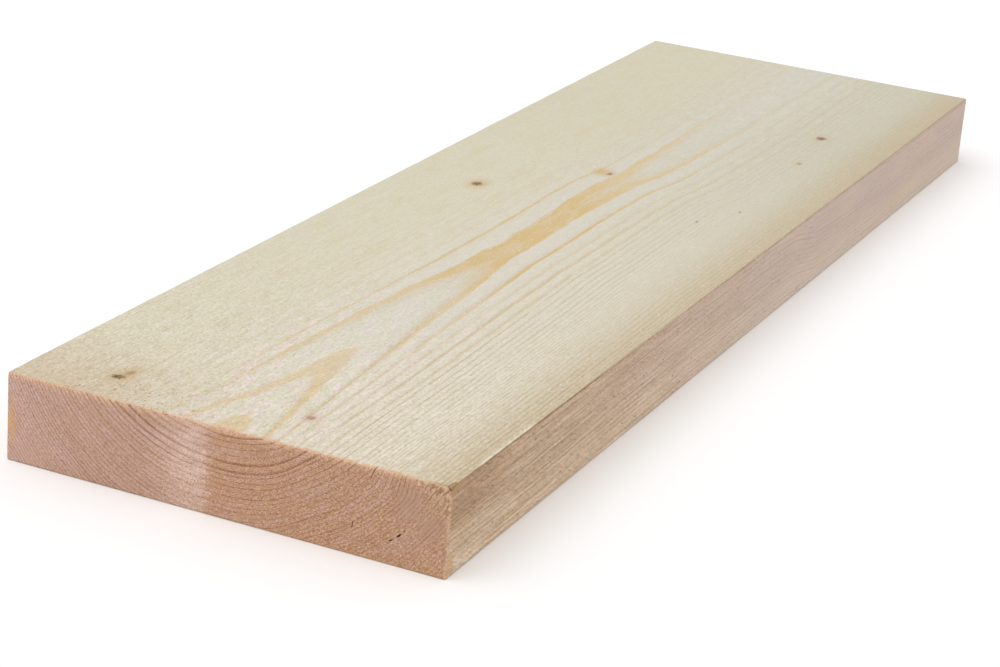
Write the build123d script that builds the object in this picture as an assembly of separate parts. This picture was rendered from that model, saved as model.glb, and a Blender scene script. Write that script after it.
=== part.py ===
from build123d import *
import os

# A sawn softwood cladding board, lying flat on its back face.
# Millimetres. X runs across the board, Y along it, Z up.
# The origin is the middle of the back face, which lies on Z = 0.

# Board
width = 145.0
thickness = 28.0
length = 500.0

# The heart side is uppermost, so drying has rounded that face up a little
crown = 0.4

# The four long arrises are only just eased, and the ends are left as the saw cut them
arris_radius = 0.6

# Chip broken off the near right top corner: how far it reaches along each edge there
chip_across = 3.4
chip_along = 4.6
chip_down = 2.2

# Drying check that opens from the near top arris, down the end and a little along the top
check_from_middle = 49.5
check_lean = 2.4
check_depth = 5.0
check_run = 2.6
check_mouth = 0.45

# How far the cutting shapes stand clear of the wood
clearance = 1.0

right_edge = width / 2
near_end = -length / 2
edge_height = thickness - crown


# The cross section, standing in the XZ plane: flat back, straight edges, crowned face
def board_section():
    back_left = (-right_edge, 0)
    back_right = (right_edge, 0)
    face_right = (right_edge, edge_height)
    face_middle = (0, thickness)
    face_left = (-right_edge, edge_height)
    with BuildSketch(Plane.XZ) as section:
        with BuildLine():
            Polyline(face_left, back_left, back_right, face_right)
            ThreePointArc(face_right, face_middle, face_left)
        make_face()
        fillet(section.vertices(), arris_radius)
    return section.sketch


# Everything outside the sloping break at the near right top corner
def chip_cutter():
    on_near_edge = Vector(right_edge - chip_across, near_end, edge_height)
    on_long_edge = Vector(right_edge, near_end + chip_along, edge_height)
    on_upright_edge = Vector(right_edge, near_end, edge_height - chip_down)
    outward = (on_long_edge - on_near_edge).cross(on_upright_edge - on_near_edge)
    if outward.Z < 0:
        outward = outward * -1
    break_plane = Plane(origin=on_near_edge, z_dir=outward)
    reach = 2 * (chip_across + chip_along)
    return extrude(break_plane * Rectangle(reach, reach), amount=reach)


# A split that is widest at the near top arris and closes to nothing downwards and inwards
def check_cutter():
    growth = (check_depth + clearance) / check_depth
    half_mouth = check_mouth / 2 * growth
    top = thickness + clearance
    mouth_x = check_from_middle
    tip = (check_from_middle - check_lean, thickness - check_depth)
    mouth_left = (mouth_x - half_mouth, top)
    mouth_right = (mouth_x + half_mouth, top)
    with BuildSketch(Plane.XZ.offset(-near_end)) as mouth:
        with BuildLine():
            Polyline(tip, mouth_left, mouth_right, tip)
        make_face()
    far_point = Vertex(mouth_x, near_end + check_run * growth, top)
    return loft([mouth.sketch.face(), far_point])


board = extrude(board_section(), amount=length / 2, both=True)
board = board - chip_cutter() - check_cutter()
board = board.solid()
board.label = "board"

os.makedirs("parts", exist_ok=True)
export_step(board, "parts/board.step")
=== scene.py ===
import math
import bmesh
import bpy
from mathutils import Matrix, Vector


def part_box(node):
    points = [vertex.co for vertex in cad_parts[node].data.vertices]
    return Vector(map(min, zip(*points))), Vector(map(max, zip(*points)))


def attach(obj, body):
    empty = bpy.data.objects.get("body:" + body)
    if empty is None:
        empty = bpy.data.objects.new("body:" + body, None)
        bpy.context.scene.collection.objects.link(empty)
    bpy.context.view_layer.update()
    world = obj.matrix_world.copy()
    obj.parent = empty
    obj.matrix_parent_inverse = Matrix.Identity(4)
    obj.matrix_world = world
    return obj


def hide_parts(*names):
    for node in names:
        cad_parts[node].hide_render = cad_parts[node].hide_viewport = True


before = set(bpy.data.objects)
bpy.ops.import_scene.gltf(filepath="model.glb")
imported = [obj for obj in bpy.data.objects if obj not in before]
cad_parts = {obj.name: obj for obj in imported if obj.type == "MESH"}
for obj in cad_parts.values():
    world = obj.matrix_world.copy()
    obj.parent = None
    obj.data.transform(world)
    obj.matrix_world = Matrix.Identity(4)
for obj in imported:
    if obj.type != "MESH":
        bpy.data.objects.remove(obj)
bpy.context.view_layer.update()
mm = 0.001
print("frame loaded")

boardLow, boardHigh = (Vector(corner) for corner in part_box("board"))
boardLength = (boardHigh.y - boardLow.y) / mm
boardWidth = (boardHigh.x - boardLow.x) / mm
boardThickness = (boardHigh.z - boardLow.z) / mm


def onFace(fromNear, fromLeft, depth=0.0):
    # a place on the top face: mm from the near end, from the left edge and down into the wood
    return Vector((boardLow.x + fromLeft * mm, boardLow.y + fromNear * mm, boardHigh.z - depth * mm))


def onEnd(fromLeft, height, depth=0.0):
    # a place on the near end: mm from the left edge, above the back face and into the wood
    return Vector((boardLow.x + fromLeft * mm, boardLow.y + depth * mm, boardLow.z + height * mm))


# Helpers for modelling

def deselectAll():
    if bpy.context.object and bpy.context.object.mode != "OBJECT":
        bpy.ops.object.mode_set(mode="OBJECT")
    bpy.ops.object.select_all(action="DESELECT")


def makeActive(piece):
    deselectAll()
    piece.select_set(True)
    bpy.context.view_layer.objects.active = piece


def selectInEdit(piece, kind, test):
    # kind is EDGE, FACE or VERT; leaves the piece in edit mode with only what passes the test selected
    bpy.ops.object.mode_set(mode="EDIT")
    bpy.ops.mesh.select_mode(type=kind)
    bpy.ops.mesh.select_all(action="DESELECT")
    cage = bmesh.from_edit_mesh(piece.data)
    parts = {"EDGE": cage.edges, "FACE": cage.faces, "VERT": cage.verts}[kind]
    for part in parts:
        if test(part):
            part.select_set(True)
    cage.select_flush_mode()
    bmesh.update_edit_mesh(piece.data)


def runsAlong(axis):
    # a test for edges that run along X, Y or Z
    def test(edge):
        span = edge.verts[1].co - edge.verts[0].co
        return abs(span[axis]) > 0.999 * span.length
    return test


def applyModifier(piece, modifier):
    makeActive(piece)
    bpy.ops.object.modifier_apply(modifier=modifier.name)


def smoothRise(low, high, value):
    t = min(max((value - low) / (high - low), 0), 1)
    return t * t * (3 - 2 * t)


# Helpers for shader nodes. Each adds to the tree being built, which makeGroup or newMaterial has started.

bench = {"tree": None}


def feed(socket, value):
    if isinstance(value, bpy.types.NodeSocket):
        bench["tree"].links.new(value, socket)
    elif value is not None:
        socket.default_value = value


def feedAll(sockets, values):
    for name, value in values.items():
        feed(sockets[name], value)


def addNode(kind, **settings):
    node = bench["tree"].nodes.new(kind)
    for name, value in settings.items():
        setattr(node, name, value)
    row, column = divmod(len(bench["tree"].nodes), 12)
    node.location = (column * 190, row * -220)
    return node


def calc(operation, a, b=None, c=None):
    node = addNode("ShaderNodeMath", operation=operation)
    for socket, value in zip(node.inputs, (a, b, c)):
        feed(socket, value)
    return node.outputs[0]


def vectorCalc(operation, a, b=None):
    node = addNode("ShaderNodeVectorMath", operation=operation)
    feed(node.inputs[0], a)
    feed(node.inputs[1], b)
    return node.outputs


def combine(kind, parts):
    # kind is XYZ or Color
    node = addNode("ShaderNodeCombine" + kind)
    for socket, value in zip(node.inputs, parts):
        feed(socket, value)
    return node.outputs[0]


def plus(first, *others):
    for other in others:
        first = calc("ADD", first, other)
    return first


def minus(a, b):
    return calc("SUBTRACT", a, b)


def times(first, *others):
    for other in others:
        first = calc("MULTIPLY", first, other)
    return first


def spread(value, fromLow, fromHigh, toLow=0.0, toHigh=1.0, kind="SMOOTHSTEP"):
    node = addNode("ShaderNodeMapRange", interpolation_type=kind)
    feedAll(node.inputs, {"Value": value, "From Min": fromLow, "From Max": fromHigh,
                          "To Min": toLow, "To Max": toHigh})
    return node.outputs["Result"]


def swing(value, amount):
    # noise told as a change of up to amount either way
    return spread(value, 0.25, 0.75, -amount, amount, "LINEAR")


def tint(amount, under, over, blend="MIX"):
    node = addNode("ShaderNodeMix", data_type="RGBA", blend_type=blend)
    feed(node.inputs[0], amount)
    feed(node.inputs[6], under)
    feed(node.inputs[7], over)
    return node.outputs[2]


def stain(colour, over, *amounts):
    # lays one colour over another, as strongly as the amounts multiplied together
    return tint(times(*amounts), colour, over)


def shade(colour, level):
    # darkens a colour towards brown or lightens it towards lilac, by a factor near 1
    shares = (0.85, 1.0, 1.3)
    factor = combine("Color", [calc("MULTIPLY_ADD", level, share, 1 - share) for share in shares])
    return tint(1.0, colour, factor, "MULTIPLY")


def noise(place, size, shift=(0, 0, 0), detail=2.0, rough=0.5):
    # soft random lumps of about size mm along X, Y and Z
    scaled = vectorCalc("DIVIDE", vectorCalc("ADD", place, shift)[0], size)[0]
    node = addNode("ShaderNodeTexNoise")
    feedAll(node.inputs, {"Vector": scaled, "Scale": 1.0, "Detail": detail, "Roughness": rough})
    return node.outputs["Fac"]


def curve(value, points, toLow, toHigh):
    # a line drawn through the points, each point in real units
    fromLow, fromHigh = points[0][0], points[-1][0]
    scaled = spread(value, fromLow, fromHigh, kind="LINEAR")
    node = addNode("ShaderNodeFloatCurve")
    line = node.mapping.curves[0]
    while len(line.points) < len(points):
        line.points.new(0.5, 0.5)
    for point, (x, y) in zip(line.points, points):
        point.location = ((x - fromLow) / (fromHigh - fromLow), (y - toLow) / (toHigh - toLow))
        point.handle_type = "VECTOR"
    node.mapping.update()
    feed(node.inputs["Value"], scaled)
    return calc("MULTIPLY_ADD", node.outputs[0], toHigh - toLow, toLow)


def makeGroup(name, inputs, outputs):
    tree = bpy.data.node_groups.new(name, "ShaderNodeTree")
    bench["tree"] = tree
    kinds = {"f": "NodeSocketFloat", "v": "NodeSocketVector"}
    for label, kind, value in inputs:
        socket = tree.interface.new_socket(name=label, in_out="INPUT", socket_type=kinds[kind])
        if value is not None:
            socket.default_value = value
    for label, kind in outputs:
        tree.interface.new_socket(name=label, in_out="OUTPUT", socket_type=kinds[kind])
    start = tree.nodes.new("NodeGroupInput")
    end = tree.nodes.new("NodeGroupOutput")
    start.location = (-300, 0)
    end.location = (2500, 0)
    return tree, start.outputs, end.inputs


def placeGroup(group, values):
    node = addNode("ShaderNodeGroup", node_tree=group)
    feedAll(node.inputs, values)
    return node.outputs


def splitPlace(place):
    node = addNode("ShaderNodeSeparateXYZ")
    feed(node.inputs[0], place)
    return node.outputs


def srgb(red, green, blue):
    # a colour as a paint chart gives it, 0 to 255, for a shader socket
    def straighten(level):
        level = level / 255
        return level / 12.92 if level <= 0.04045 else ((level + 0.055) / 1.055) ** 2.4
    return (straighten(red), straighten(green), straighten(blue), 1.0)


# Growth rings: one solid pattern that every face cuts through, as in the tree

ringPattern = {
    # how high the heart of the tree lies above the top face, along the board, all in mm
    "heartHeight": [(0, 40.05), (14.5, 40.72), (29, 41.35), (45, 41.85), (60, 42.1), (76, 42.42),
                    (100, 42.86), (120, 43.2), (145, 43.53), (160, 43.75), (169, 43.87), (182, 43.97),
                    (205, 44.02), (240, 44.03), (258, 43.95), (272, 43.92), (290, 43.92), (300, 43.88),
                    (306, 43.81), (314, 43.76), (331, 43.69), (356, 43.6), (400, 43.37), (500, 42.9)],
    # how far right of the board's middle it lies
    "heartAcross": [(0, 0.4), (45, 0.7), (76, 0.1), (110, -0.7), (165, -0.8), (182, -1.3), (205, -0.8),
                    (260, -1.0), (282, -0.3), (290, 0.6), (306, 2.8), (331, 3.7), (356, 4.0), (400, 4.6),
                    (500, 4.3)],
    # ring number against distance from the heart, right of it and left of it, where the tree grew wider
    "rightRings": [(38.8, -2), (40.55, -1), (42.35, 0), (44.15, 1), (46.05, 2), (48.2, 3), (50.4, 4),
                   (52.9, 5), (54.2, 6), (55.9, 7), (60.5, 10), (64.7, 13), (73.7, 20), (86.0, 31),
                   (106.0, 49)],
    "leftRings": [(37.0, -2), (38.6, -1), (40.5, 0), (42.85, 1), (44.5, 2), (46.6, 3), (48.9, 4),
                  (51.2, 5), (53.1, 6), (54.6, 7), (58.7, 10), (62.7, 13), (71.9, 20), (84.1, 31),
                  (112.0, 57)],
    "leftShift": (2.8, 1.17),    # how far left and down the left half's own middle lies
    "halvesMeet": (-9.0, 0.0),   # mm right of the heart
    "sagFrom": 50.0,             # mm from the heart, where the rings start to sag
    "sag": (0.14, 0.34),         # how much lower a ring's middle lies per mm over that, right and left
    # swelling near the right arris: middle X and Z, half sizes, lift
    "burr": (57.5, 29.5, 13.0, 10.0, 3.0),
    # swelling near the front: mm right of the heart, from and to, lift, reach back
    "nearSwell": (14.0, 31.0, 1.7, 120.0),
    "surfaceDrop": 0.23,         # how far the roughened top lies under the plain board's
    "numberShift": 10.06,        # keeps numbers above nothing, and lines just short of whole ones
    "arcRadius": 60.0,           # mm from the heart at which the way round a ring is measured
}


def ringReach(side, rise, sag):
    # distance from the heart, with the wider rings sagging
    plain = calc("SQRT", plus(times(side, side), times(rise, rise)))
    wide = calc("MAXIMUM", minus(plain, ringPattern["sagFrom"]), 0.0)
    lean = minus(calc("DIVIDE", rise, plain), 0.8)
    return minus(plain, times(wide, lean, sag))


def buildRingGroup():
    tree, given, out = makeGroup(
        "growthRings",
        [("Place", "v", None), ("Wander", "f", 1.0)],
        [("Count", "f"), ("Late Wood", "f"), ("Ring Strength", "f"), ("Side", "f"), ("Ring Place", "v")])
    place = given["Place"]
    x, y, z = splitPlace(place)
    fromNear = plus(y, boardLength / 2)
    height = curve(fromNear, ringPattern["heartHeight"], 39, 45)
    across = curve(fromNear, ringPattern["heartAcross"], -5, 5)
    side = minus(x, across)
    rise = minus(plus(height, boardThickness - ringPattern["surfaceDrop"]), z)
    # the rings wander a little, but hardly at all near the heart line where the flames are
    slow = minus(noise(place, (15, 110, 15), (5, 0, 40), 1.0), 0.5)
    quick = minus(noise(place, (2.6, 13, 2.6), (50, 7, 0), 2.0), 0.5)
    fromHeart = spread(calc("ABSOLUTE", side), 6.0, 26.0)
    wander = plus(times(slow, spread(fromHeart, 0, 1, 0.1, 1.1, "LINEAR")),
                  times(quick, spread(fromHeart, 0, 1, 0.16, 0.4, "LINEAR")))
    # the right half, with the swelling by its arris
    burrX, burrZ, burrWide, burrHigh, burrLift = ringPattern["burr"]
    offX = calc("DIVIDE", minus(x, burrX), burrWide)
    offZ = calc("DIVIDE", minus(z, burrZ), burrHigh)
    burr = calc("SQRT", plus(times(offX, offX), times(offZ, offZ)))
    burr = spread(burr, 0.0, 1.0, burrLift, 0.0)
    swellFrom, swellTo, swellLift, swellBack = ringPattern["nearSwell"]
    swell = times(spread(side, swellFrom, swellTo, 0.0, swellLift), spread(fromNear, 0, swellBack, 1, 0))
    rightReach = plus(ringReach(side, rise, ringPattern["sag"][0]), burr, swell)
    rightReach = calc("MULTIPLY_ADD", wander, given["Wander"], rightReach)
    rightCount = curve(rightReach, ringPattern["rightRings"], -2, 49)
    # the left half
    leftSide = plus(side, ringPattern["leftShift"][0])
    leftRise = minus(rise, ringPattern["leftShift"][1])
    leftReach = ringReach(leftSide, leftRise, ringPattern["sag"][1])
    leftReach = calc("MULTIPLY_ADD", wander, given["Wander"], leftReach)
    leftCount = curve(leftReach, ringPattern["leftRings"], -2, 57)
    onRight = spread(side, *ringPattern["halvesMeet"])
    onLeft = minus(1.0, onRight)
    count = plus(times(rightCount, onRight), times(leftCount, onLeft))
    # each ring darkens outwards and ends sharply
    shifted = plus(count, ringPattern["numberShift"])
    part = calc("FRACT", shifted)
    chance = addNode("ShaderNodeTexWhiteNoise", noise_dimensions="1D")
    feed(chance.inputs["W"], calc("FLOOR", shifted))
    late = times(spread(part, 0.55, 0.94), spread(part, 0.95, 1.0, 1.0, 0.0))
    # the same place told as distance from the heart, way round the ring and way along the board
    reach = plus(times(rightReach, onRight), times(leftReach, onLeft))
    around = times(calc("ARCTAN2", side, rise), ringPattern["arcRadius"])
    feedAll(out, {"Count": count, "Late Wood": late, "Side": side,
                  "Ring Strength": spread(chance.outputs["Value"], 0, 1, 0.2, 1.0, "LINEAR"),
                  "Ring Place": combine("XYZ", (reach, around, y))})
    return tree


def buildMarkGroup():
    # one chosen ring's late wood, in ring numbers: it darkens over Width and ends sharply over Edge
    tree, given, out = makeGroup(
        "darkRing",
        [("Count", "f", 0.0), ("At", "f", 1.0), ("Width", "f", 0.3), ("Edge", "f", 0.06),
         ("Body", "f", 0.3)],
        [("Mark", "f")])
    start = minus(given["At"], given["Width"])
    full = calc("MULTIPLY_ADD", given["Width"], given["Body"], start)
    inner = spread(given["Count"], start, full)
    outer = spread(given["Count"], given["At"], plus(given["At"], given["Edge"]), 1.0, 0.0)
    feed(out["Mark"], times(inner, outer))
    return tree


def buildFibreGroup():
    # sawn wood fibre: long streaks, short fuzz and bright lifted fibres
    tree, given, out = makeGroup(
        "sawnFibre",
        [("Place", "v", None), ("Streak Size", "v", (0.8, 22.0, 0.8)),
         ("Fuzz Size", "v", (0.6, 1.5, 0.6)), ("Fleck Size", "v", (0.45, 1.6, 0.45))],
        [("Streak", "f"), ("Fuzz", "f"), ("Flecks", "f"), ("Height", "f")])
    place = given["Place"]
    streak = noise(place, given["Streak Size"], (0, 0, 0), 2.0, 0.6)
    fuzz = noise(place, given["Fuzz Size"], (9, 4, 2), 1.0, 0.6)
    fleck = spread(noise(place, given["Fleck Size"], (31, 17, 8), 1.0), 0.6, 0.78)
    height = plus(times(streak, 0.6), times(fuzz, 0.6), times(fleck, 0.25))
    feedAll(out, {"Streak": streak, "Fuzz": fuzz, "Flecks": fleck, "Height": height})
    return tree


def buildEdgeGroup():
    # how far a place is from the faces of the board, in mm, with a ragged line
    tree, given, out = makeGroup(
        "fromEdges",
        [("Place", "v", None), ("Ragged", "f", 0.5)],
        [("Near", "f"), ("Left", "f"), ("Right", "f"), ("Top", "f"), ("Back", "f"),
         ("Patchy", "f"), ("Broken", "f")])
    place = given["Place"]
    x, y, z = splitPlace(place)
    rough = minus(noise(place, (1.1, 1.6, 1.1), (3, 3, 9), 2.0, 0.6), 0.5)
    rough = times(rough, given["Ragged"])
    for name, axis, sign, start in (("Near", y, 1, boardLength / 2), ("Left", x, 1, boardWidth / 2),
                                    ("Right", x, -1, boardWidth / 2), ("Top", z, -1, boardThickness),
                                    ("Back", z, 1, 0)):
        away = calc("MULTIPLY_ADD", axis, sign, start)
        feed(out[name], plus(away, rough))
    # how much of a torn fringe is left, in long patches and in short breaks
    patches = noise(place, (3.5, 9, 3.5), (8, 1, 2), 2.0, 0.7)
    feed(out["Patchy"], spread(patches, 0.36, 0.6, 0.2, 1.0))
    breaks = noise(place, (1.3, 2.4, 1.5), (2, 6, 1), 2.0, 0.7)
    feed(out["Broken"], spread(breaks, 0.4, 0.58, 0.2, 1.0))
    return tree


def buildKnotGroup():
    # a pin knot or torn spot: a dark core, a softer halo drawn out along the grain
    tree, given, out = makeGroup(
        "pinKnot",
        [("Place", "v", None), ("Centre", "v", (0, 0, 0)), ("Core Size", "v", (1.5, 1.5, 1.5)),
         ("Halo Size", "v", (3, 6, 3))],
        [("Core", "f"), ("Halo", "f")])
    place = given["Place"]
    away = vectorCalc("SUBTRACT", place, given["Centre"])[0]
    rough = minus(noise(place, (0.8, 1.1, 0.8), (2, 8, 5), 2.0, 0.6), 0.5)
    for name, blur, ragged in (("Core", 0.6, 1.6), ("Halo", 0.9, 1.3)):
        length = vectorCalc("LENGTH", vectorCalc("DIVIDE", away, given[name + " Size"])[0])["Value"]
        reach = calc("MULTIPLY_ADD", rough, ragged, length)
        feed(out[name], spread(reach, 1.0 - blur, 1.0 + blur * 0.3, 1.0, 0.0))
    return tree


growthRings = buildRingGroup()
darkRing = buildMarkGroup()
sawnFibre = buildFibreGroup()
fromEdges = buildEdgeGroup()
pinKnot = buildKnotGroup()


def newMaterial(name):
    material = bpy.data.materials.new(name)
    material.use_nodes = True
    bench["tree"] = material.node_tree
    return material, material.node_tree.nodes["Principled BSDF"]


def placeInMm():
    node = addNode("ShaderNodeVectorMath", operation="SCALE")
    feed(node.inputs[0], addNode("ShaderNodeTexCoord").outputs["Object"])
    feed(node.inputs["Scale"], 1 / mm)
    return node.outputs[0]


def finishWood(shader, colour, roughness, specular, height, depth):
    # depth is how far the bumps seem to stand up, in mm
    bump = addNode("ShaderNodeBump")
    feedAll(bump.inputs, {"Strength": 1.0, "Distance": depth * mm, "Height": height})
    feedAll(shader.inputs, {"Base Color": colour, "Roughness": roughness, "Specular IOR Level": specular,
                            "Normal": bump.outputs[0]})


def inMm(point):
    return tuple(part / mm for part in point)


# The sawn face

faceLook = {
    "nearWood": srgb(226, 217, 199),
    "farWoodAndShade": srgb(203, 199, 180),
    "leftWood": srgb(216, 208, 183),
    "yellowed": srgb(212, 200, 166),
    "lilac": srgb(229, 213, 208),
    "greenish": srgb(214, 213, 184),
    "nearLeft": srgb(203, 181, 153),
    "ringLine": srgb(188, 165, 122),
    "nearFlame": srgb(218, 192, 144),
    "midFlame": srgb(212, 180, 115),
    "farFlame": srgb(214, 189, 138),
    "peachFlame": srgb(217, 194, 158),
    "clearWood": srgb(214, 210, 198),
    "tanEdge": srgb(193, 172, 138),
    "fringe": srgb(222, 168, 126),
    "knotCore": srgb(86, 54, 22),
    "knotRed": srgb(142, 96, 70),
    "yellowHalo": srgb(206, 177, 126),
    "redHalo": srgb(206, 170, 148),
    "lifted": srgb(240, 232, 214),
    "tornFleck": srgb(150, 110, 70),
    # mm from the near end between which one look passes into the next
    "farSpan": (20, 380),
    "lineSpan": (70, 330),
    "fraySpan": (70, 180),
    "midFlameSpan": (120, 170),
    "farFlameSpan": (250, 300),
    "narrowSpan": (285, 325),
    "faintSpan": (320, 420),
    # the same from the left edge, and from the right one
    "leftSpan": (35, 75),
    "cornerSpan": (15, 75),
    "tanSpan": (0, 24),
    "tornPart": (32.0, 16.0, 66.0),    # mm from the near end, and from the left edge from and to
    "arrisHighlight": (14.0, 62.0, 1.5),    # mm from the near end, from and to, and wide
    # chosen rings: number, width and edge in rings, body, strength left and right of the heart, in front
    "flames": [(-1.0, 0.3, 0.07, 0.35, 0.8, 0.8, 1.0), (0.0, 0.3, 0.07, 0.35, 0.7, 0.85, 1.0),
               (1.02, 0.42, 0.05, 0.8, 0.5, 0.48, 0.3), (1.02, 0.2, 0.05, 0.5, 0.65, 0.65, 0.3),
               (2.0, 0.21, 0.06, 0.5, 0.7, 0.85, 0.35), (3.0, 0.09, 0.06, 0.5, 0.2, 0.55, 0.6),
               (4.0, 0.12, 0.06, 0.5, 0.15, 0.7, 0.6), (5.0, 0.1, 0.06, 0.5, 0.1, 0.6, 0.6)],
}

# pin knots: mm from near end and left edge, half sizes across and along, core and halo strength, redness
knots = {
    "firstKnot": (15.8, 28.3, 2.5, 2.1, 1.0, 0.6, 0.0),
    "firstSmear": (20.2, 29.4, 1.5, 2.4, 0.4, 0.6, 0.3),
    "softKnot": (21.2, 89.6, 1.5, 1.5, 0.5, 0.7, 1.0),
    "oliveKnot": (254.0, 29.9, 2.4, 2.9, 0.72, 0.65, 0.0),
    "flameKnot": (297.2, 64.4, 1.4, 1.9, 0.6, 0.7, 0.4),
    "flameSpot": (298.0, 60.6, 1.6, 2.3, 0.0, 0.95, 0.0),
    "farKnot": (397.5, 114.1, 2.2, 2.8, 0.74, 0.45, 0.5),
    "farSpeck": (358.0, 118.7, 1.1, 1.5, 0.45, 0.4, 0.2),
    "midSpeck": (263.5, 113.1, 0.5, 0.9, 0.8, 0.2, 0.0),
    "midDash": (284.5, 121.7, 0.45, 1.0, 0.6, 0.2, 0.2),
}


def buildFaceMaterial():
    material, shader = newMaterial("sawnFace")
    place = placeInMm()
    rings = placeGroup(growthRings, {"Place": place})
    fibre = placeGroup(sawnFibre, {"Place": place, "Streak Size": (0.6, 8.0, 0.6),
                                   "Fuzz Size": (0.6, 1.4, 0.6), "Fleck Size": (0.5, 1.7, 0.5)})
    edges = placeGroup(fromEdges, {"Place": place, "Ragged": 1.6})
    fromNear = edges["Near"]
    byHeart = spread(calc("ABSOLUTE", rings["Side"]), 12, 46, 1, 0)
    # the wood's tones: clear in the middle and near the end in view, yellower on the left; darker towards
    # the far end, partly the wood's own tone and partly painted shade
    farther = spread(fromNear, *faceLook["farSpan"], kind="LINEAR")
    colour = stain(faceLook["nearWood"], faceLook["farWoodAndShade"], farther)
    leftSide = spread(edges["Left"], *faceLook["leftSpan"], 1, 0)
    colour = stain(colour, faceLook["leftWood"], leftSide, 0.6)
    blotch = noise(place, (7, 18, 7), (20, 3, 1), 3.0, 0.6)
    blotch = times(spread(blotch, 0.5, 0.74), spread(leftSide, 0, 1, 0.15, 0.6))
    colour = stain(colour, faceLook["yellowed"], blotch)
    bright = spread(noise(place, (2.2, 7, 2.2), (4, 40, 1), 2.0, 0.6), 0.45, 0.64)
    dull = spread(noise(place, (2.4, 9, 2.4), (60, 4, 9), 2.0, 0.6), 0.47, 0.66)
    nearer = spread(fromNear, 20, 300, 0.95, 0.3)
    colour = stain(colour, faceLook["lilac"], bright, byHeart, nearer)
    colour = stain(colour, faceLook["greenish"], dull, spread(byHeart, 0, 1, 0.35, 0.7), nearer)
    clear = times(spread(calc("ABSOLUTE", rings["Side"]), 8, 26, 0.42, 0), spread(fromNear, 40, 120))
    colour = stain(colour, faceLook["clearWood"], clear)
    corner = times(spread(fromNear, 0, 55, 1, 0), spread(edges["Left"], *faceLook["cornerSpan"], 1, 0.1))
    colour = stain(colour, faceLook["nearLeft"], corner, 0.62)
    tan = spread(edges["Right"], *faceLook["tanSpan"], 1, 0)
    colour = stain(colour, faceLook["tanEdge"], tan, 0.62)
    # fine broken ring lines, crisper on the right
    fade = spread(fromNear, *faceLook["lineSpan"], 1.0, 0.42)
    broken = spread(noise(place, (2.5, 22, 2.5), (7, 7, 7), 2.0), 0.27, 0.48)
    rightSide = spread(rings["Side"], -4, 16)
    byArris = spread(edges["Right"], 3.0, 12.0, 1, 0)
    strength = calc("MAXIMUM", rings["Ring Strength"], spread(rings["Side"], 14, 26, 0.2, 0.65))
    line = times(rings["Late Wood"], strength, broken, fade,
                 spread(plus(rightSide, byArris), 0, 2, 0.2, 1.12, "LINEAR"))
    colour = stain(colour, faceLook["ringLine"], line)
    # flames: the wide late wood of the rings that only just reach the face
    torn = spread(fibre["Fuzz"], 0.3, 0.62, 0.55, 1.0)
    frayed = calc("MAXIMUM", torn, spread(fromNear, *faceLook["fraySpan"]))
    flame = stain(faceLook["nearFlame"], faceLook["midFlame"], spread(fromNear, *faceLook["midFlameSpan"]))
    flame = stain(flame, faceLook["farFlame"], spread(fromNear, *faceLook["farFlameSpan"]))
    peach = spread(noise(place, (3.5, 15, 3.5), (9, 2, 7), 2.0, 0.6), 0.44, 0.64, 0.0, 0.6)
    flame = stain(flame, faceLook["peachFlame"], peach)
    narrower = spread(fromNear, *faceLook["narrowSpan"], 1.0, 0.55)
    fainter = spread(fromNear, *faceLook["faintSpan"], 1.0, 0.22)
    fadeFrom = calc("MULTIPLY_ADD", rightSide, -45.0, fromNear)
    for at, width, edge, body, left, right, near in faceLook["flames"]:
        mark = placeGroup(darkRing, {"Count": rings["Count"], "At": at, "Width": times(narrower, width),
                                     "Edge": edge, "Body": body})
        amount = spread(rightSide, 0, 1, left, right, "LINEAR")
        nearShare = spread(fadeFrom, 10, 75, near, 1.0)
        colour = stain(colour, flame, mark["Mark"], amount, nearShare, frayed, fainter)
    # streaks, fuzz and lifted fibres
    fuzzy = times(spread(fromNear, 10, 200, 1.4, 0.45), spread(edges["Left"], 30, 90, 0.8, 0.74))
    level = plus(swing(fibre["Streak"], 0.09), swing(fibre["Fuzz"], 0.16))
    colour = shade(colour, calc("MULTIPLY_ADD", level, fuzzy, 0.99))
    flecks = times(fibre["Flecks"], spread(fromNear, 60, 300, 0.7, 0.4))
    colour = stain(colour, faceLook["lifted"], flecks)
    back, tornFrom, tornTo = faceLook["tornPart"]
    tornPart = times(spread(fromNear, 4, back, 1, 0), spread(edges["Left"], tornFrom - 8, tornFrom + 8),
                     spread(edges["Left"], tornTo - 14, tornTo + 14, 1, 0))
    tornSpots = spread(noise(place, (0.55, 0.9, 0.55), (15, 2, 6), 1.0, 0.6), 0.56, 0.68)
    tornPart = times(tornPart, spread(noise(place, (3, 4, 3), (6, 6, 2), 1.0), 0.4, 0.62))
    colour = stain(colour, faceLook["tornFleck"], tornPart, tornSpots, 0.85)
    for fromEnd, fromLeft, across, along, core, halo, redness in knots.values():
        spot = placeGroup(pinKnot, {
            "Place": place, "Centre": inMm(onFace(fromEnd, fromLeft)), "Core Size": (across, along, 4),
            "Halo Size": (across * 2.2, along * 2.8, 6)})
        ring = tint(redness, faceLook["yellowHalo"], faceLook["redHalo"])
        colour = stain(colour, ring, spot["Halo"], halo)
        middle = tint(redness, faceLook["knotCore"], faceLook["knotRed"])
        colour = stain(colour, middle, spot["Core"], core)
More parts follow.
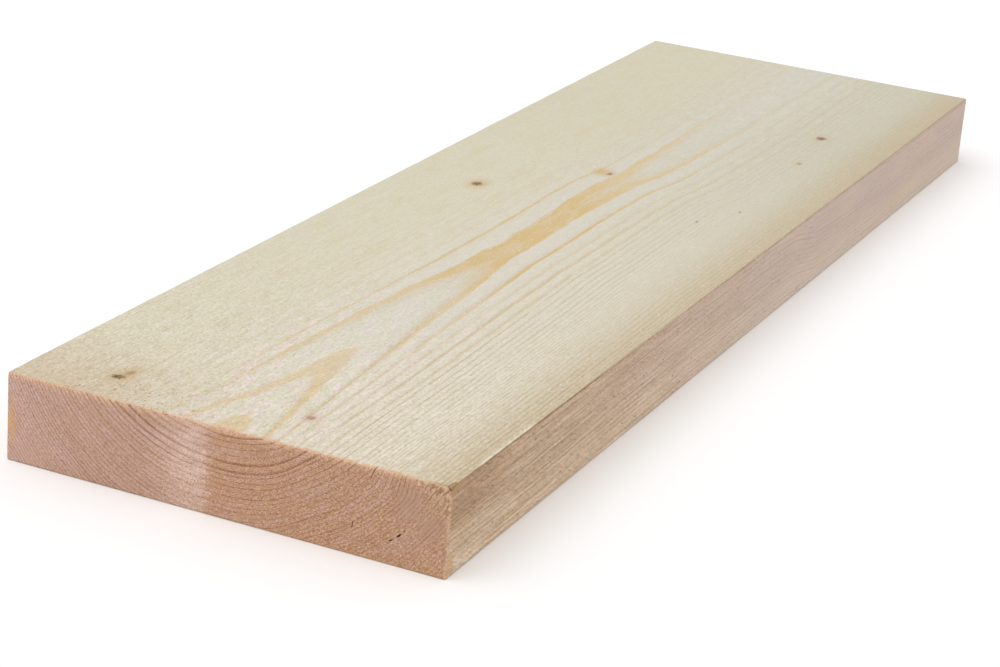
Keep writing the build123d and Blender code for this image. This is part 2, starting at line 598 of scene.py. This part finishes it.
    # torn fringe on the near edge and a brown line along the right one
    patchy = edges["Patchy"]
    nearFringe = times(spread(fromNear, 0.2, 1.9, 0.95, 0.0), spread(edges["Left"], 55, 78, 0.5, 1.0))
    colour = stain(colour, faceLook["fringe"], nearFringe, patchy)
    byChip = times(spread(fromNear, 0.3, 2.2, 0.45, 0.0), spread(edges["Right"], 3, 8, 1, 0))
    colour = stain(colour, faceLook["tornFleck"], byChip)
    colour = stain(colour, faceLook["ringLine"], spread(edges["Right"], 0.2, 0.9, 0.6, 0.0))
    # painted highlight: a pale line along the right arris, where a raised splinter catches the light
    paleFrom, paleTo, wide = faceLook["arrisHighlight"]
    pale = times(spread(fromNear, paleFrom, paleFrom + 8), spread(fromNear, paleTo - 14, paleTo, 1, 0),
                 spread(edges["Right"], wide * 0.5, wide, 0.85, 0.0), patchy)
    colour = stain(colour, faceLook["lifted"], pale)
    relief = times(fibre["Height"], spread(fromNear, 30, 250, 1.0, 0.4))
    finishWood(shader, colour, spread(fibre["Fuzz"], 0.3, 0.7, 0.62, 0.8, "LINEAR"), 0.2, relief, 0.4)
    return material


# The sawn end

endLook = {
    "left": srgb(199, 162, 143),
    "right": srgb(199, 156, 127),
    "lilac": srgb(214, 178, 168),
    "tan": srgb(198, 157, 118),
    "sheen": srgb(238, 206, 190),
    "ringLine": srgb(152, 104, 82),
    "ringOrange": srgb(150, 92, 58),
    "bright": srgb(236, 196, 166),
    "dark": srgb(150, 106, 76),
    "yellowEdge": srgb(226, 174, 108),
    "paleEdge": srgb(238, 204, 172),
    "upperEdge": srgb(232, 187, 152),
    "smooth": srgb(184, 147, 126),
    "splinter": srgb(232, 200, 164),
    "fringe": srgb(236, 213, 174),
    "torn": srgb(146, 102, 70),
    # dark rings: number, width and edge in rings, strength left and right
    "darkRings": [(0.0, 0.14, 0.05, 0.6, 1.0), (1.0, 0.1, 0.05, 0.5, 0.0), (2.0, 0.1, 0.05, 0.6, 0.0),
                  (3.0, 0.1, 0.04, 0.75, 0.15), (4.0, 0.13, 0.03, 0.9, 1.0),
                  (5.0, 0.13, 0.03, 0.95, 0.95), (24.0, 0.3, 0.1, 0.6, 0.1),
                  (24.9, 0.25, 0.1, 0.5, 0.1), (20.0, 0.25, 0.1, 0.1, 0.35)],
    "ringShift": 0.03,    # how far past its number each of them ends, in rings
    # mm from the left edge between which one look passes into the next
    "bladeStop": (66.2, 68.8),
    "bandStart": (47, 62),
    "bandEnd": (66.0, 70.5),
    "coarseSpan": (40, 112),
    "toothReach": 2.4,    # mm that single rings stand out from the first three of these
    # soft patches: mm from the left edge, above the back, half sizes
    "smoothPatches": [(132.0, 20.5, 4.6, 6.5), (139.5, 14.5, 4.5, 4.0)],
    "roughCorner": (145.5, 28.0, 9.0, 9.0),
    "leftCorner": (7.0, 4.0, 6.0, 5.5),
    "leftEdge": (-0.2, 12.5, 2.8, 7.5),
}


def softPatch(place, spec):
    fromLeft, height, across, up = spec
    spot = placeGroup(pinKnot, {
        "Place": place, "Centre": inMm(onEnd(fromLeft, height)), "Core Size": (across, 40.0, up),
        "Halo Size": (across * 1.3, 60.0, up * 1.3)})
    return spot["Halo"]


def buildEndMaterial():
    material, shader = newMaterial("sawnEnd")
    place = placeInMm()
    rings = placeGroup(growthRings, {"Place": place, "Wander": 0.55})
    edges = placeGroup(fromEdges, {"Place": place, "Ragged": 1.2})
    ringPlace = rings["Ring Place"]
    fromLeft = edges["Left"]
    height = edges["Back"]
    smooth = calc("MAXIMUM", *(softPatch(place, spec) for spec in endLook["smoothPatches"]))
    roughCorner = softPatch(place, endLook["roughCorner"])
    leftCorner = softPatch(place, endLook["leftCorner"])
    # pinkish where the blade rubbed, more orange and rougher right of the blade's last stop
    teeth = noise(ringPlace, (0.9, 7.0, 30), (14, 4, 2), 1.0)
    reach = endLook["toothReach"]
    crossed = plus(fromLeft, spread(teeth, 0.2, 0.8, -reach, reach, "LINEAR"))
    rightPart = spread(crossed, *endLook["bladeStop"])
    colour = tint(rightPart, endLook["left"], endLook["right"])
    # soft zones that follow the rings
    zones = noise(ringPlace, (2.4, 15, 30), (4, 4, 4), 2.0, 0.6)
    lilac = times(spread(zones, 0.46, 0.66), spread(rightPart, 0, 1, 0.6, 0.4))
    colour = stain(colour, endLook["lilac"], lilac)
    tanZones = noise(ringPlace, (1.3, 8, 30), (44, 14, 4), 2.0, 0.6)
    tanZones = times(spread(tanZones, 0.48, 0.66), spread(rightPart, 0, 1, 0.4, 0.7))
    colour = stain(colour, endLook["tan"], tanZones)
    # the band the blade rubbed smoother, with painted sheen that is brightest in some rings
    rubbedSheen = spread(crossed, *endLook["bandStart"])
    sheenBand = times(rubbedSheen, spread(crossed, *endLook["bandEnd"], 1.0, 0.0), spread(height, 2, 13, 0.6, 1.0),
                 spread(height, 18, 27, 1.0, 0.75), spread(edges["Near"], 100, 400, 1.0, 0.35))
    sheenRows = spread(noise(ringPlace, (1.3, 9, 30), (8, 14, 9), 2.0), 0.36, 0.62)
    colour = stain(colour, endLook["sheen"], sheenBand, spread(sheenRows, 0, 1, 0.38, 0.8, "LINEAR"))
    colour = stain(colour, endLook["smooth"], smooth, 0.75)
    colour = stain(colour, endLook["tan"], leftCorner, 0.4)
    colour = stain(colour, endLook["lilac"], spread(fromLeft, 2, 26, 0.65, 0.0))
    # paler towards the top edge
    upper = times(spread(edges["Top"], 0.2, 3.2, 1.0, 0.0), spread(fromLeft, 70, 88, 1.0, 0.7),
                  spread(edges["Right"], 5, 11), spread(edges["Broken"], 0.2, 1.0, 0.4, 1.0))
    colour = stain(colour, endLook["upperEdge"], upper)
    # rings, broken up by the saw
    broken = spread(noise(ringPlace, (1.5, 4.0, 30), (7, 7, 7), 3.0, 0.6), 0.26, 0.5)
    # ring lines paler under the painted sheen
    fadedBySheen = calc("MULTIPLY_ADD", times(rubbedSheen, spread(crossed, 66, 74, 1.0, 0.0)), -0.5, 1.0)
    line = times(spread(rings["Late Wood"], 0.4, 1.0), spread(rings["Ring Strength"], 0.2, 1, 0.5, 1.0),
                 broken, spread(rightPart, 0, 1, 1.0, 0.8, "LINEAR"), fadedBySheen)
    lineColour = tint(rightPart, endLook["ringLine"], endLook["ringOrange"])
    colour = stain(colour, lineColour, line)
    for at, width, edge, left, right in endLook["darkRings"]:
        mark = placeGroup(darkRing, {"Count": rings["Count"], "At": at + endLook["ringShift"],
                                     "Width": width, "Edge": edge, "Body": 0.6})
        amount = spread(rings["Side"], -14, 4, left, right)
        shortened = spread(calc("ABSOLUTE", rings["Side"]), 34, 60, 1.0, 0.75)
        colour = stain(colour, lineColour, mark["Mark"], amount, shortened, fadedBySheen)
    # rough sawn grain: short dashes along the rings, then specks
    dashes = noise(ringPlace, (0.22, 0.65, 0.5), (3, 3, 3), 1.0, 0.7)
    specks = noise(place, (0.2, 0.2, 0.2), (9, 1, 5), 1.0, 0.7)
    coarse = spread(fromLeft, *endLook["coarseSpan"], 1.4, 2.2)
    calm = times(spread(smooth, 0, 1, 1.0, 0.3), spread(leftCorner, 0, 1, 1.0, 0.5))
    roughness = times(coarse, calm)
    dashLevel = times(swing(dashes, 0.2), roughness)
    speckLevel = times(swing(specks, 0.2), roughness)
    colour = shade(colour, plus(dashLevel, speckLevel, 1.0))
    brightSpecks = spread(noise(ringPlace, (0.25, 0.42, 0.5), (31, 17, 8), 1.0), 0.57, 0.7)
    darkSpecks = spread(noise(ringPlace, (0.25, 0.46, 0.5), (3, 77, 18), 1.0), 0.59, 0.72)
    # bright specks, with painted glints in the sheen band
    glitter = calc("MAXIMUM", times(roughness, 0.4), times(sheenBand, 0.75))
    colour = stain(colour, endLook["bright"], brightSpecks, glitter)
    colour = stain(colour, endLook["dark"], darkSpecks, roughness, 0.42)
    splinters = noise(ringPlace, (0.4, 1.3, 3.0), (5, 5, 8), 2.0, 0.7)
    splintered = tint(spread(splinters, 0.42, 0.6), endLook["torn"], endLook["splinter"])
    colour = stain(colour, splintered, roughCorner, 0.75)
    # orange-yellow fringe on the top, left and lower right edges
    topFringe = times(spread(edges["Top"], 0.1, 1.0, 0.9, 0.0), edges["Patchy"])
    colour = stain(colour, endLook["fringe"], topFringe)
    ragged = spread(noise(place, (2, 3, 2), (1, 1, 1), 2.0), 0.35, 0.6, 0.4, 0.9)
    colour = stain(colour, endLook["yellowEdge"], softPatch(place, endLook["leftEdge"]), ragged)
    low = times(spread(height, 0.1, 1.6, 0.5, 0.0), spread(fromLeft, 66, 115), ragged)
    colour = stain(colour, endLook["yellowEdge"], low)
    rightFringe = times(spread(edges["Right"], 0.1, 1.0, 1.0, 0.0), edges["Broken"])
    colour = stain(colour, endLook["paleEdge"], rightFringe)
    relief = plus(times(dashes, 0.5), times(specks, 0.5))
    relief = plus(times(relief, roughness), times(rings["Late Wood"], 0.25))
    finishWood(shader, colour, spread(sheenBand, 0, 1, 0.88, 0.66), 0.3, relief, 0.15)
    return material


# The sawn long edges

sideLook = {
    "near": srgb(206, 174, 141),
    "far": srgb(211, 190, 177),
    "nearLower": srgb(230, 203, 173),
    "farLower": srgb(228, 208, 190),
    "darkTop": srgb(180, 146, 115),
    "line": srgb(172, 140, 114),
    "pale": srgb(222, 201, 178),
    "arris": srgb(152, 112, 76),
    "tornBrown": srgb(190, 148, 104),
    "speck": srgb(110, 78, 54),
    "fringe": srgb(226, 184, 152),
    "corner": srgb(212, 170, 120),
    "splinter": srgb(240, 228, 210),
    "farSpan": (10, 300),           # mm from the near end between which one look passes into the next
    "farLowerSpan": (60, 300),
    "lowerHeight": 16,              # mm above the back
    "strokeSlope": 0.42,            # mm down for each mm along
    "darkTopSize": (17.0, 50.0),    # mm down from the top and along from the near end
    "arrisShadeSpan": (30.0, 108.0),     # mm from the near end, from and to
    # colour, mm from the near end and above the back, half sizes, strength, whether it follows the saw
    "patches": [("corner", 2.6, 3.4, 3.0, 3.6, 0.7, False),
                ("tornBrown", 3.5, 27.0, 5.0, 2.2, 0.7, False),
                ("splinter", 9.0, 2.6, 6.0, 0.6, 0.75, True)],
}


def buildSideMaterial():
    material, shader = newMaterial("sawnEdge")
    place = placeInMm()
    rings = placeGroup(growthRings, {"Place": place})
    edges = placeGroup(fromEdges, {"Place": place, "Ragged": 1.4})
    # the saw's strokes fall away from the near end
    x, y, z = splitPlace(place)
    slope = sideLook["strokeSlope"]
    slanted = combine("XYZ", (x, y, calc("MULTIPLY_ADD", y, slope, z)))
    fibre = placeGroup(sawnFibre, {"Place": slanted, "Streak Size": (0.7, 5.5, 0.7),
                                   "Fuzz Size": (0.5, 1.5, 0.42), "Fleck Size": (0.5, 2.4, 0.45)})
    fromNear = edges["Near"]
    farther = spread(fromNear, *sideLook["farSpan"], kind="LINEAR")
    colour = stain(sideLook["near"], sideLook["far"], farther)
    blotch = noise(place, (12, 40, 12), (2, 9, 3), 2.0)
    colour = stain(colour, sideLook["pale"], spread(blotch, 0.45, 0.7), 0.35)
    # painted light: the side made lighter towards the back face, against the floor's shade
    litLower = stain(sideLook["nearLower"], sideLook["farLower"], spread(fromNear, *sideLook["farLowerSpan"]))
    colour = stain(colour, litLower, spread(edges["Back"], 0, sideLook["lowerHeight"], 0.95, 0))
    down, along = sideLook["darkTopSize"]
    dark = times(spread(fromNear, 4, along, 1, 0), spread(fromNear, 4, 18, 0.7, 1.0),
                 spread(edges["Top"], down * 0.6, down, 1, 0))
    colour = stain(colour, sideLook["darkTop"], dark, 0.9)
    line = times(rings["Late Wood"], rings["Ring Strength"], spread(fromNear, 100, 400, 0.55, 0.3))
    colour = stain(colour, sideLook["line"], line)
    ruled = noise(place, (0.5, 28, 0.25), (3, 5, 7), 2.0, 0.7)
    level = plus(swing(fibre["Streak"], 0.06), swing(fibre["Fuzz"], 0.13), swing(ruled, 0.28))
    fuzzy = spread(fromNear, 10, 330, 1.75, 0.35)
    colour = shade(colour, calc("MULTIPLY_ADD", level, fuzzy, 1.0))
    colour = stain(colour, sideLook["pale"], fibre["Flecks"], spread(fromNear, 20, 330, 0.5, 0.2))
    specks = spread(noise(slanted, (1.0, 1.9, 0.7), (70, 3, 9), 0.0), 0.75, 0.82)
    colour = stain(colour, sideLook["speck"], specks, spread(fromNear, 150, 380, 0.6, 0.25))
    # painted shade: a brown line under the top arris, strongest over the listed span from the near end
    shadeFrom, shadeTo = sideLook["arrisShadeSpan"]
    arrisShade = times(spread(fromNear, shadeFrom - 10, shadeFrom + 10),
                   spread(fromNear, shadeTo - 6, shadeTo, 1, 0))
    arrisShade = spread(arrisShade, 0, 1, 0.5, 1.0, "LINEAR")
    colour = stain(colour, sideLook["arris"], spread(edges["Top"], 0.3, 1.2, 0.9, 0.0), arrisShade)
    nearFringe = times(spread(fromNear, 0.4, 2.2, 0.9, 0.0), edges["Broken"])
    colour = stain(colour, sideLook["fringe"], nearFringe)
    for colourName, fromEnd, height, along, up, strength, slants in sideLook["patches"]:
        centreX, centreY, centreZ = inMm(onEnd(boardWidth, height, fromEnd))
        if slants:
            centreZ = centreZ + slope * centreY
        spot = placeGroup(pinKnot, {"Place": slanted if slants else place,
                                    "Centre": (centreX, centreY, centreZ), "Core Size": (9, along, up)})
        colour = stain(colour, sideLook[colourName], spot["Core"], strength)
    relief = times(fibre["Height"], spread(fromNear, 20, 300, 1.0, 0.4))
    finishWood(shader, colour, 0.8, 0.3, relief, 0.35)
    return material


def buildTornMaterial():
    material, shader = newMaterial("tornWood")
    place = placeInMm()
    fibre = placeGroup(sawnFibre, {"Place": place, "Streak Size": (0.5, 4.0, 0.5)})
    edges = placeGroup(fromEdges, {"Place": place, "Ragged": 1.0})
    colour = tint(spread(fibre["Streak"], 0.4, 0.8), endLook["torn"], endLook["yellowEdge"])
    upper = times(spread(edges["Top"], 0.5, 1.4, 0.5, 0.0), spread(edges["Right"], 4, 7, 1.0, 0.0))
    colour = stain(colour, faceLook["tanEdge"], upper)
    colour = shade(colour, spread(fibre["Fuzz"], 0.25, 0.75, 0.7, 1.05, "LINEAR"))
    crack = times(spread(edges["Near"], 0.5, 1.7, 0.85, 0.0), spread(edges["Top"], 0.4, 1.0))
    colour = stain(colour, faceLook["knotCore"], crack)
    finishWood(shader, colour, 0.9, 0.5, fibre["Height"], 0.4)
    return material


# The board: sawn blank, roughened, then chipped, checked and pitted

boardShape = {
    "skin": 0.12,            # mm left free under the outer faces for the fibres to stand up in
    "arris": 0.45,           # mm eased off each edge
    "cutsAcross": (4, 60),   # 240 strips across the width
    "cutsUp": (46,),
    "frontStretch": 32.0,    # mm at the near end with closer cross lines
    "frontRows": 32,
    "bodyRows": (2, 84),
    "sharpEdge": 1.0,        # radians between two faces that meet at an outer edge of the blank
    "sharpAngle": 40.0,      # degrees between two faces that are shaded as a sharp edge
}


def buildBlank():
    skin = boardShape["skin"] * mm
    size = boardHigh - boardLow - Vector((2 * skin, 2 * skin, skin))
    centre = (boardLow + boardHigh) / 2 - Vector((0, 0, skin / 2))
    deselectAll()
    bpy.ops.mesh.primitive_cube_add(size=1, location=centre)
    piece = bpy.context.object
    piece.name = "sawnBoard"
    piece.scale = size
    bpy.ops.object.transform_apply(location=True, rotation=True, scale=True)
    bpy.ops.object.mode_set(mode="EDIT")
    bpy.ops.mesh.select_all(action="SELECT")
    nearCut = boardLow.y + boardShape["frontStretch"] * mm
    bpy.ops.mesh.bisect(plane_co=(0, nearCut, 0), plane_no=(0, 1, 0))
    for axis, steps in ((0, boardShape["cutsAcross"]), (2, boardShape["cutsUp"])):
        for step in steps:
            selectInEdit(piece, "EDGE", runsAlong(axis))
            bpy.ops.mesh.subdivide(number_cuts=step - 1)
    lengthwise = runsAlong(1)
    hair = 0.01 * mm
    inFront = nearCut + hair
    behind = nearCut - hair
    selectInEdit(piece, "EDGE", lambda e: lengthwise(e) and max(v.co.y for v in e.verts) < inFront)
    bpy.ops.mesh.subdivide(number_cuts=boardShape["frontRows"] - 1)
    for step in boardShape["bodyRows"]:
        selectInEdit(piece, "EDGE", lambda e: lengthwise(e) and min(v.co.y for v in e.verts) > behind)
        bpy.ops.mesh.subdivide(number_cuts=step - 1)
    # ease every outer edge
    selectInEdit(piece, "EDGE", lambda e: e.calc_face_angle(0) > boardShape["sharpEdge"])
    bpy.ops.mesh.bevel(offset=boardShape["arris"] * mm, segments=2, affect="EDGES")
    # the back is one plain face
    selectInEdit(piece, "FACE", lambda f: all(v.co.z < boardLow.z + hair for v in f.verts))
    bpy.ops.mesh.delete(type="FACE")
    selectInEdit(piece, "EDGE", lambda e: e.is_boundary)
    bpy.ops.mesh.edge_face_add()
    bpy.ops.object.mode_set(mode="OBJECT")
    return piece


def dressBoard(piece):
    # each face takes the finish of the side of the board that it belongs to
    piece.data.materials.clear()
    for material in (buildSideMaterial(), buildEndMaterial(), buildFaceMaterial()):
        piece.data.materials.append(material)
    for face in piece.data.polygons:
        size = [abs(part) for part in face.normal]
        face.material_index = size.index(max(size))


def addRoughness(piece, name, weights, grain, depth, seed):
    # pushes the surface in by up to depth mm, in soft lumps of the given grain size in mm
    deselectAll()
    bpy.ops.object.empty_add(location=Vector(seed) * mm)
    guide = bpy.context.object
    guide.scale = Vector(grain) * mm
    bpy.context.view_layer.update()
    texture = bpy.data.textures.new(name, "CLOUDS")
    texture.noise_scale = 1.0
    texture.noise_depth = 1
    modifier = piece.modifiers.new(name, "DISPLACE")
    modifier.texture = texture
    modifier.texture_coords = "OBJECT"
    modifier.texture_coords_object = guide
    modifier.mid_level = 0.8
    modifier.strength = depth * mm
    group = piece.vertex_groups.new(name=name)
    for vertex in piece.data.vertices:
        amount = weights(vertex.co)
        if amount > 0.01:
            group.add([vertex.index], amount, "REPLACE")
    modifier.vertex_group = name
    applyModifier(piece, modifier)
    piece.vertex_groups.remove(piece.vertex_groups[name])
    bpy.data.objects.remove(guide)
    bpy.data.textures.remove(texture)


surfaceRelief = {
    # grain across, along and up, depth, both in mm, and seed
    "fibres": ((0.9, 12.0, 0.9), 0.18, (0, 0, 0)),
    "fuzz": ((1.2, 1.9, 1.2), 0.16, (3, 1, 2)),
    "nearFringe": ((0.8, 0.8, 0.8), 0.7, (1, 5, 2)),
    "rightFringe": ((0.9, 2.5, 0.9), 0.45, (4, 3, 6)),
    "endSkin": 0.4,    # mm at the near end that count as its sawn face
}


def addSurfaceRelief(piece):
    endSkin = surfaceRelief["endSkin"]

    def clearance(co):
        # mm from the near end, from the right side and from the top
        return (co.y - boardLow.y) / mm, (boardHigh.x - co.x) / mm, (boardHigh.z - co.z) / mm

    def offBack(co):
        return smoothRise(0.2, 2.0, (co.z - boardLow.z) / mm)

    def nearFringe(co):
        fromEnd, fromSide, fromTop = clearance(co)
        return offBack(co) * (1 - smoothRise(0.2, 1.3, math.hypot(fromEnd, fromTop)))

    def rightFringe(co):
        fromEnd, fromSide, fromTop = clearance(co)
        nearest = min(math.hypot(fromSide, fromTop), math.hypot(fromSide, fromEnd))
        return offBack(co) * (1 - smoothRise(0.2, 1.0, nearest))

    def inFront(co):
        # full where the mesh is fine enough for it, and less on the calmer left of the sawn end
        fromEnd = clearance(co)[0]
        calm = 0.06 + 0.1 * smoothRise(60, 110, (co.x - boardLow.x) / mm)
        amount = 1 - 0.85 * smoothRise(22, 32, fromEnd)
        return offBack(co) * (calm if fromEnd < endSkin else amount)

    def alongFibres(co):
        return offBack(co) * (0.15 if clearance(co)[0] < endSkin else 1.0)

    for name, weights in (("fibres", alongFibres), ("fuzz", inFront), ("nearFringe", nearFringe),
                          ("rightFringe", rightFringe)):
        addRoughness(piece, name, weights, *surfaceRelief[name])


def roughLump(name, place, radii, lumpiness, turn=0.0, detail=3):
    # a pebble shape that tears wood away, turned by some degrees in the plane of the near end
    deselectAll()
    bpy.ops.mesh.primitive_ico_sphere_add(subdivisions=detail, radius=1, location=place)
    tool = bpy.context.object
    tool.name = name
    tool.scale = Vector(radii) * mm
    tool.rotation_euler = (0, -math.radians(turn), 0)
    bpy.ops.object.transform_apply(location=True, rotation=True, scale=True)
    texture = bpy.data.textures.new(name, "CLOUDS")
    texture.noise_scale = min(radii) * mm * 0.8
    modifier = tool.modifiers.new(name, "DISPLACE")
    modifier.texture = texture
    modifier.texture_coords = "LOCAL"
    modifier.strength = lumpiness * mm
    applyModifier(tool, modifier)
    bpy.data.textures.remove(texture)
    return tool


def checkWedge():
    # a slim four-sided wedge, point down: the drying check in the near top edge
    mouthAt, tipAt, tipHeight, halfWidth, halfLength = tears["check"]
    clearAbove = 1.0    # mm
    mouth = onEnd(mouthAt, boardThickness + clearAbove)
    tip = onEnd(tipAt, tipHeight)
    deselectAll()
    bpy.ops.mesh.primitive_cone_add(vertices=4, radius1=1, radius2=0, depth=1)
    tool = bpy.context.object
    tool.name = "check"
    tool.scale = (halfWidth * mm, halfLength * mm, mouth.z - tip.z)
    tool.rotation_euler = (math.pi, 0, 0)
    tool.location = (mouth + tip) / 2
    bpy.ops.object.transform_apply(location=True, rotation=True, scale=True)
    halfLean = (mouth.x - tip.x) / 2
    middle = (mouth.z + tip.z) / 2
    for test, way in ((lambda v: v.co.z > middle, halfLean), (lambda v: v.co.z < middle, -halfLean)):
        selectInEdit(tool, "VERT", test)
        bpy.ops.transform.translate(value=(way, 0, 0))
    bpy.ops.object.mode_set(mode="OBJECT")
    return tool


tears = {
    "chip": ((1.1, 0.6, 1.1), (3.3, 6.4, 2.7), 0.9),     # mm from the corner, radii, lumpiness
    # drying check: mm from the left edge at its mouth and at its tip, tip's height, half width and length
    "check": (122.0, 119.6, 23.0, 0.2, 3.0),
    # torn grooves in the near end: mm from the left edge, above the back, half length and width, degrees
    "grooves": [(129.9, 9.5, 1.1, 0.34, 45), (127.5, 7.5, 0.8, 0.24, 35), (131.5, 11.3, 0.35, 0.2, 50),
                (115.3, 9.0, 1.2, 0.16, 85)],
    "grooveDepth": 0.5,
    "grooveLumpiness": 0.25,
}


def tearWood(piece):
    torn = buildTornMaterial()
    offset, radii, lumpiness = tears["chip"]
    corner = Vector((boardHigh.x, boardLow.y, boardHigh.z))
    tools = [roughLump("chip", corner + Vector(offset) * mm, radii, lumpiness, detail=4), checkWedge()]
    for fromLeft, height, half, width, turn in tears["grooves"]:
        radii = (half, tears["grooveDepth"], width)
        tools.append(roughLump("groove", onEnd(fromLeft, height), radii, tears["grooveLumpiness"], turn))
    deselectAll()
    for tool in tools:
        tool.data.materials.append(torn)
        tool.select_set(True)
    bpy.context.view_layer.objects.active = tools[0]
    bpy.ops.object.join()
    tool = bpy.context.object
    modifier = piece.modifiers.new("tear", "BOOLEAN")
    modifier.operation = "DIFFERENCE"
    modifier.solver = "MANIFOLD"
    modifier.material_mode = "TRANSFER"
    modifier.object = tool
    applyModifier(piece, modifier)
    bpy.data.objects.remove(tool)


board = buildBlank()
print("blank sawn")
dressBoard(board)
addSurfaceRelief(board)
print("surface roughened")
tearWood(board)
makeActive(board)
bpy.ops.object.shade_smooth_by_angle(angle=math.radians(boardShape["sharpAngle"]))
print("board:", sum(len(p.vertices) - 2 for p in board.data.polygons), "triangles")

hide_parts("board")
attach(board, "root")


# Floor, lights and camera

studio = {
    "sky": 0.72,
    "overhead": 1.1,       # strength of the soft overhead sun
    "sunSpread": 60.0,     # degrees
    "sunTurn": (18.0, -14.0, 0.0),
    "floorColour": (0.86, 0.86, 0.86, 1.0),
    "floorSize": 12,       # metres
    "floorDrop": 0.1,      # mm under the board
}


def buildStage():
    deselectAll()
    bpy.ops.mesh.primitive_plane_add(size=studio["floorSize"], location=(0, 0, -studio["floorDrop"] * mm))
    floor = bpy.context.object
    floor.name = "floor"
    bpy.ops.object.transform_apply(location=True)
    material, shader = newMaterial("paleFloor")
    seen = addNode("ShaderNodeLightPath")
    brighter = tint(seen.outputs["Is Camera Ray"], studio["floorColour"], (1, 1, 1, 1))
    feedAll(shader.inputs, {"Base Color": brighter, "Roughness": 1.0, "Specular IOR Level": 0.0})
    floor.data.materials.append(material)
    world = bpy.data.worlds.new("studio")
    bpy.context.scene.world = world
    world.use_nodes = True
    sky = world.node_tree.nodes["Background"]
    feedAll(sky.inputs, {"Color": (1, 1, 1, 1), "Strength": studio["sky"]})
    bpy.ops.object.light_add(type="SUN")
    sun = bpy.context.object
    sun.name = "overheadSun"
    sun.rotation_euler = [math.radians(angle) for angle in studio["sunTurn"]]
    sun.data.energy = studio["overhead"]
    sun.data.angle = math.radians(studio["sunSpread"])


cameraSettings = {
    "place": (354.53, -867.91, 325.70),      # mm
    "turn": (-23.7248, 20.3697, 4.5996),     # degrees of yaw, pitch and roll
    "lens": 98.19,
    "sensor": 36,
    "clip": (0.01, 50),                      # metres
}


def buildCamera():
    yaw, pitch, roll = (math.radians(angle) for angle in cameraSettings["turn"])
    ahead = Vector((math.sin(yaw) * math.cos(pitch), math.cos(yaw) * math.cos(pitch), -math.sin(pitch)))
    right = Vector((math.cos(yaw), -math.sin(yaw), 0))
    up = right.cross(ahead)
    rightTurned = math.cos(roll) * right + math.sin(roll) * up
    upTurned = -math.sin(roll) * right + math.cos(roll) * up
    bpy.ops.object.camera_add()
    camera = bpy.context.object
    camera.name = "camera"
    camera.data.sensor_width = cameraSettings["sensor"]
    camera.data.lens = cameraSettings["lens"]
    camera.data.clip_start, camera.data.clip_end = cameraSettings["clip"]
    turned = Matrix((rightTurned, upTurned, -ahead)).transposed().to_4x4()
    camera.matrix_world = Matrix.Translation(Vector(cameraSettings["place"]) * mm) @ turned
    bpy.context.scene.camera = camera


buildStage()
buildCamera()
bpy.context.scene.view_settings.view_transform = "Standard"
print("stage set")
